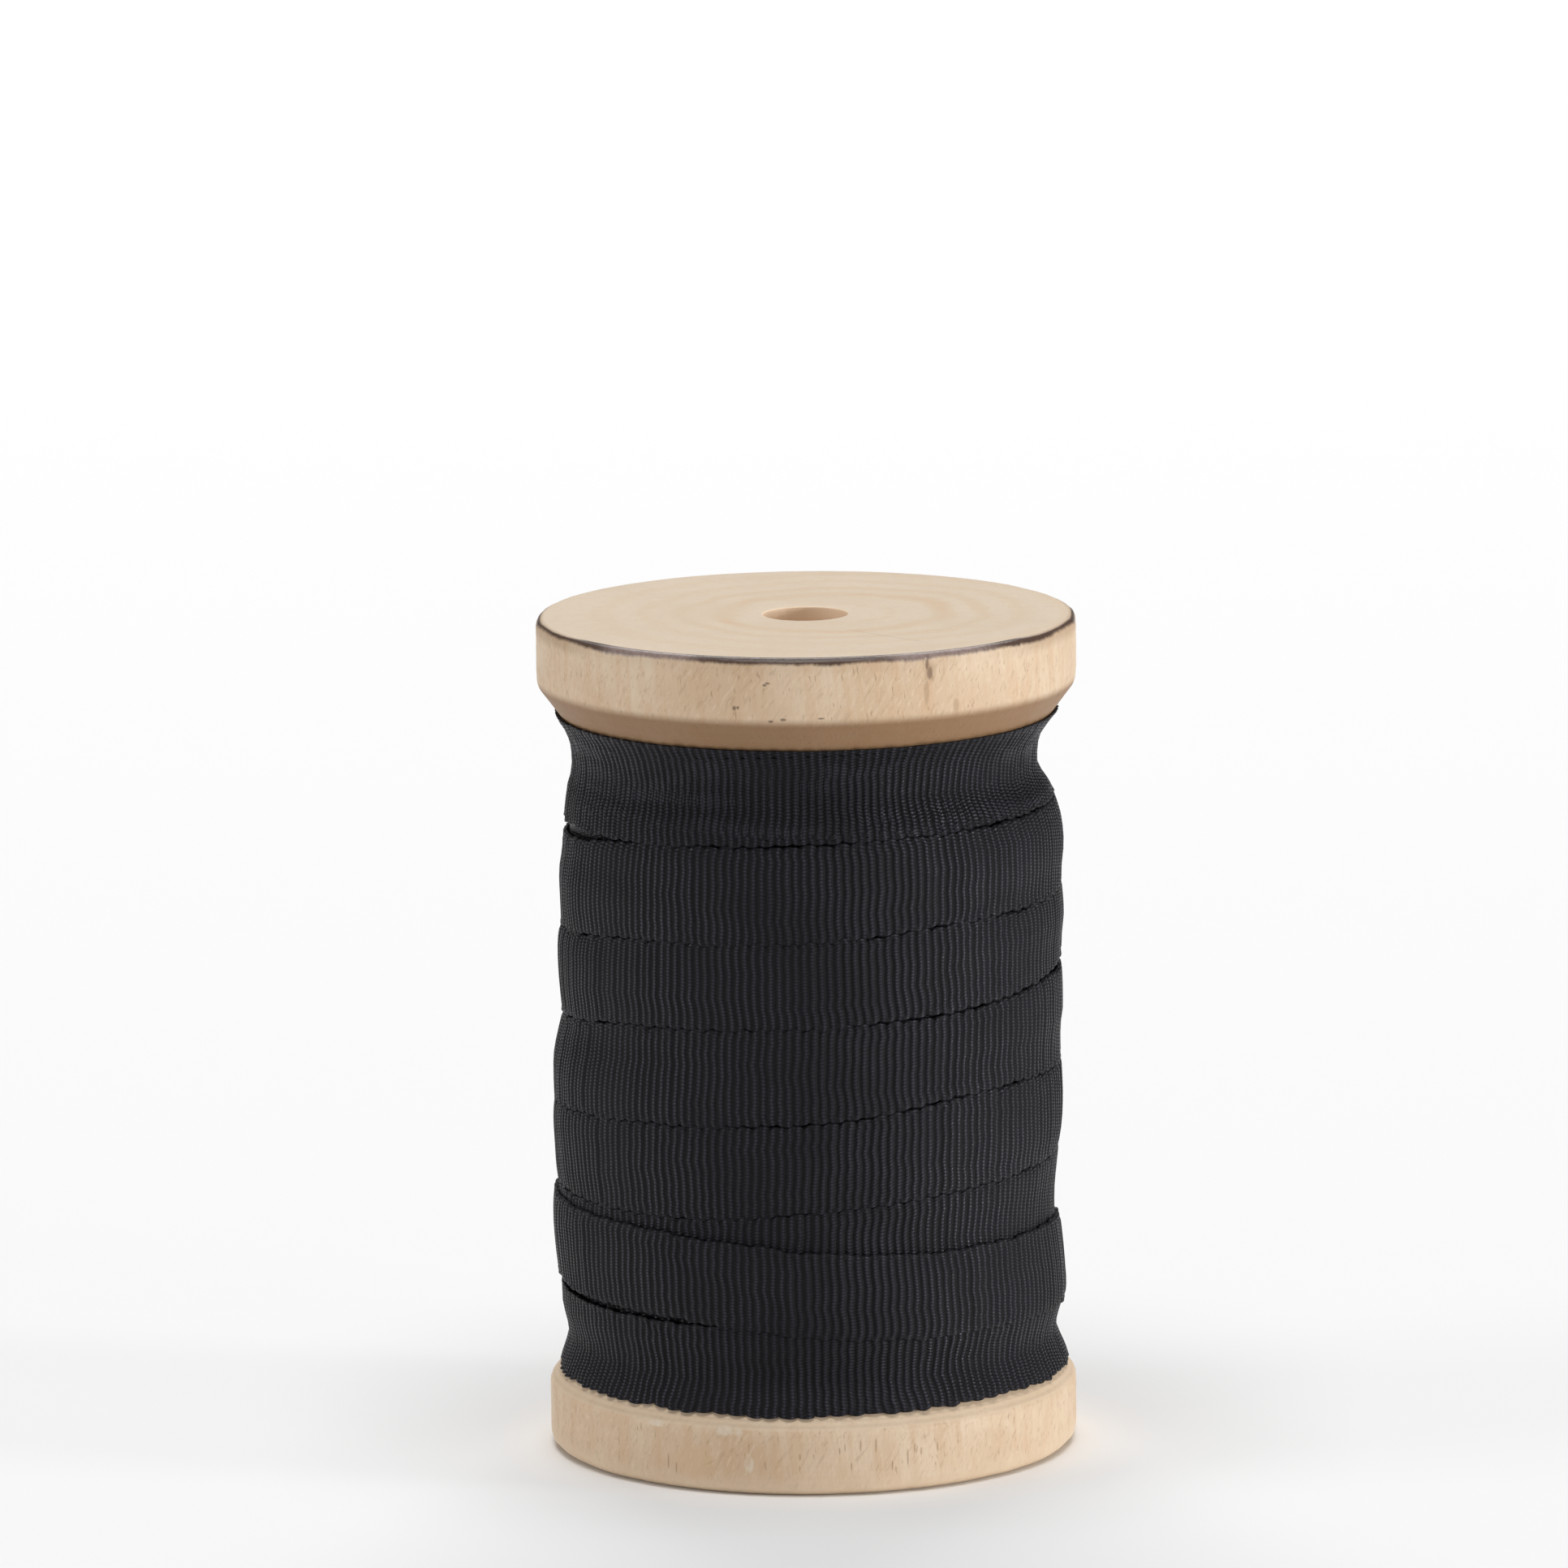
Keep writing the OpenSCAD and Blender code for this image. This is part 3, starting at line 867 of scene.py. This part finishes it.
def buried_path():
    """The ribbon's way from the barrel out: for each step its turns, layer and lower edge."""
    places = []
    turns = 0.0
    for layer in range(BURIED_LAYERS):
        r = BURIED_IN_R + layer * (BURIED_OUT_R - BURIED_IN_R) / BURIED_LAYERS
        low = BASE_RIM_H + (BASE_R - r) * BASE_SLOPE + BURIED_END_GAP
        high = TOP_EDGE_Z - (TOP_R - r) * TOP_SLOPE - BURIED_END_GAP - RIBBON_W
        rise = (low, high) if layer % 2 else (high, low)
        count = round(abs(high - low) / BURIED_PITCH * BURIED_STEPS)
        for i in range(count):
            places.append((turns, layer, rise[0] + (rise[1] - rise[0]) * i / count))
            turns += 1 / BURIED_STEPS
        for i in range(BURIED_STEPS):
            places.append((turns, layer + i / BURIED_STEPS, rise[1]))
            turns += 1 / BURIED_STEPS
    return np.array(places).T


def buried_strip():
    """The buried turns, drawn plain because only slits of them are seen, and their length in m."""
    turns, layer, lower = buried_path()
    rows = np.linspace(0, 1, BURIED_ROWS)
    z = lower[:, None] + RIBBON_W * rows
    angle = np.broadcast_to(-2 * math.pi * turns[:, None], z.shape)
    outermost = curve(OUTER_FACE, z) + curve(RIGHT_LEAN, z) * np.sin(angle) - BURIED_DEPTH
    inner = np.maximum(BURIED_IN_R, wood_radius(z) + BURIED_WOOD_GAP)
    share = np.clip(layer[:, None] / BURIED_LAYERS, 0, 1)
    even = BURIED_IN_R + share * (outermost - BURIED_IN_R)
    back = np.maximum(even, inner)
    front = back + BURIED_T
    middle_r = np.concatenate([front, back], 1).mean(1)
    length = 2 * math.pi * float(np.sum(middle_r[1:] * np.diff(turns))) * MM
    row_turns = turns[-1] / BURIED_MAP_ROWS
    strip = make_strip("ribbon_buried_turns", turns, rows, front, back, z, angle, row_turns)
    return strip, length


# The ribbon's black, deepened in the valleys as painted shade, and the painted glint on its
# crests.
RIBBON_BLACK_AND_SHADE = (0.0010, 0.0010, 0.0012, 1)
RIBBON_PAINTED_GLINT = (0.0440, 0.0408, 0.0560, 1)
# From one warp thread to the next, in mm.
THREAD_PITCH = 0.36


def ribbon_material():
    """Black grosgrain: fine warp threads cross each rib, with a painted glint along its crest and
    painted shade in its valleys.
    """
    p = Pattern("grosgrain")
    node = p.tree.nodes.new("ShaderNodeUVMap")
    node.uv_map = "weave"
    rib, across, _ = p.split(node.outputs[0])
    place = p.object_mm()
    # Warp threads lie side by side across the ribbon, and step half a thread from rib to rib.
    odd = p.math("MULTIPLY", p.math("MODULO", p.math("FLOOR", rib), 2.0), math.pi)
    thread = p.math("ADD", p.math("MULTIPLY", across, 2 * math.pi / THREAD_PITCH), odd)
    thread = p.math("SINE", thread)
    thread = p.math("ADD", p.math("MULTIPLY", thread, 0.5), 0.5)
    fibre = p.join(p.math("MULTIPLY", rib, 3.0), p.math("MULTIPLY", across, 9.0), 0.0)
    fibre = p.noise(fibre, 1.0, 2, 0.6)
    cloud = p.noise(place, 0.16, 3, 0.55)
    # Painted highlight: each rib's crest is painted lighter, dotted thread by thread; the valleys
    # keep a deeper black as painted shade.
    from_crest = p.math("ABSOLUTE", p.math("SUBTRACT", p.math("FRACT", rib), 0.5))
    crest = p.span(from_crest, 0.0, 0.25, 1.0, 0.0)
    painted_glint = p.math("MULTIPLY", crest, p.span(thread, 0.1, 0.9, 0.25, 1.0))
    share = p.math("MULTIPLY", painted_glint, p.span(cloud, 0.3, 0.7, 0.55, 1.0))
    p.put(p.shader.inputs["Base Color"], p.mix(share, RIBBON_BLACK_AND_SHADE, RIBBON_PAINTED_GLINT))
    roughness = p.math("ADD", p.math("MULTIPLY", fibre, 0.12), p.math("MULTIPLY", painted_glint, -0.42))
    p.put(p.shader.inputs["Roughness"], p.math("ADD", roughness, 0.56))
    p.shader.inputs["Specular IOR Level"].default_value = 0.27
    p.shader.inputs["Specular Tint"].default_value = (0.93, 0.91, 1, 1)
    height = p.math("ADD", thread, p.math("MULTIPLY", fibre, 0.7))
    p.bump(height, 0.8, 0.00007)
    return p.material


# ---------------------------------------------------------------- pin and tape


STEEL_BRIGHT = srgb(196, 196, 192)
STEEL_DULL = srgb(150, 146, 140)
TAPE_CREAM = srgb(226, 214, 180)
TAPE_PALE = srgb(240, 232, 206)


def steel_material():
    """Bright drawn steel with a faint fine bump and a few dull spots."""
    p = Pattern("pin_steel")
    place = p.object_mm()
    spots = p.noise(place, 2.0, 3, 0.6)
    colour = p.mix(p.span(spots, 0.5, 0.75), STEEL_BRIGHT, STEEL_DULL)
    p.put(p.shader.inputs["Base Color"], colour)
    p.put(p.shader.inputs["Roughness"], p.math("ADD", 0.22, p.math("MULTIPLY", spots, 0.2)))
    p.shader.inputs["Metallic"].default_value = 1.0
    p.bump(p.noise(place, 9.0, 2, 0.5), 0.1, 0.00002)
    return p.material


def tape_material():
    """Thin paper tape, cream and lightly creped."""
    p = Pattern("paper_tape")
    place = p.object_mm()
    crepe = p.noise(p.vector("MULTIPLY", place, (3.0, 3.0, 0.6)), 1.0, 3, 0.6)
    p.put(p.shader.inputs["Base Color"], p.mix(crepe, TAPE_CREAM, TAPE_PALE))
    p.put(p.shader.inputs["Roughness"], p.math("ADD", 0.55, p.math("MULTIPLY", crepe, 0.2)))
    p.bump(crepe, 0.3, 0.00005)
    return p.material


def dress(part, material):
    """Gives a piece its one material."""
    part.data.materials.clear()
    part.data.materials.append(material)


# ---------------------------------------------------------------- the object

spool = make_spool()
dress(spool, wood_material())
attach(spool, "root")
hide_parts("wooden_spool")

grosgrain = ribbon_material()
outer_turns = ribbed_strip("ribbon_outer_turns", OUTER_START, OUTER_END)
last_turns = ribbed_strip("ribbon_last_turns", OUTER_END, LAST_END)
buried_turns, buried_length = buried_strip()
TURN_LENGTH = 2 * math.pi * WINDING_R * MM
outer_length = (OUTER_END - OUTER_START) * TURN_LENGTH
last_length = (LAST_END - OUTER_END) * TURN_LENGTH
ribbons = (
    (outer_turns, "ribbon_outer_layer", outer_length, ["ribbon_buried_turns"]),
    (last_turns, "ribbon_last_turn", last_length, ["ribbon_outer_turns"]),
    (buried_turns, "ribbon_inner_layers", buried_length, ["spool_wood"]),
)
for strip, node_name, length, under in ribbons:
    dress(strip, grosgrain)
    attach(strip, "root")
    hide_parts(node_name)

dress(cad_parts["end_pin"], steel_material())
dress(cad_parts["start_tape"], tape_material())

# ---------------------------------------------------------------- floor and light


FLOOR_HALF_MM = 6000


def make_floor():
    """A plain pale floor."""
    size = FLOOR_HALF_MM
    floor = new_mesh(
        "floor", [(-size, -size, 0), (size, -size, 0), (size, size, 0), (-size, size, 0)],
        [(0, 1, 2, 3)])
    p = Pattern("floor")
    p.shader.inputs["Base Color"].default_value = srgb(250, 250, 250)
    p.shader.inputs["Roughness"].default_value = 0.9
    p.shader.inputs["Specular IOR Level"].default_value = 0.0
    dress(floor, p.material)


def soft_light(name, degrees, height, distance, size, power, aim_at=(0, 0, 0.047)):
    """A soft box of size (width, height) at an angle round the spool and a height."""
    data = bpy.data.lights.new(name, "AREA")
    data.shape = "RECTANGLE"
    data.size, data.size_y = size
    data.energy = power
    lamp = bpy.data.objects.new(name, data)
    angle = math.radians(degrees)
    lamp.location = (distance * math.sin(angle), -distance * math.cos(angle), height)
    aim = Vector(aim_at) - lamp.location
    lamp.rotation_euler = aim.to_track_quat("-Z", "Y").to_euler()
    bpy.context.scene.collection.objects.link(lamp)


def make_world(brightness):
    """Even white light from all round."""
    world = bpy.data.worlds.new("studio")
    world.use_nodes = True
    backdrop = world.node_tree.nodes["Background"]
    backdrop.inputs["Color"].default_value = (1, 1, 1, 1)
    backdrop.inputs["Strength"].default_value = brightness
    bpy.context.scene.world = world


make_floor()
soft_light("key", 76, 0.28, 2.6, (0.5, 0.45), 32)
soft_light("low", 50, 0.1, 2.6, (0.6, 0.2), 11)
soft_light("fill", -78, 0.6, 2.8, (1.2, 1.1), 21)
soft_light("overhead", 0, 3.2, 0.4, (2.2, 2.2), 64)
soft_light("backdrop", 180, 2.6, 2.6, (2.4, 1.6), 62, aim_at=(0, 2.4, 0))
make_world(0.1)
bpy.context.scene.view_settings.view_transform = "Standard"
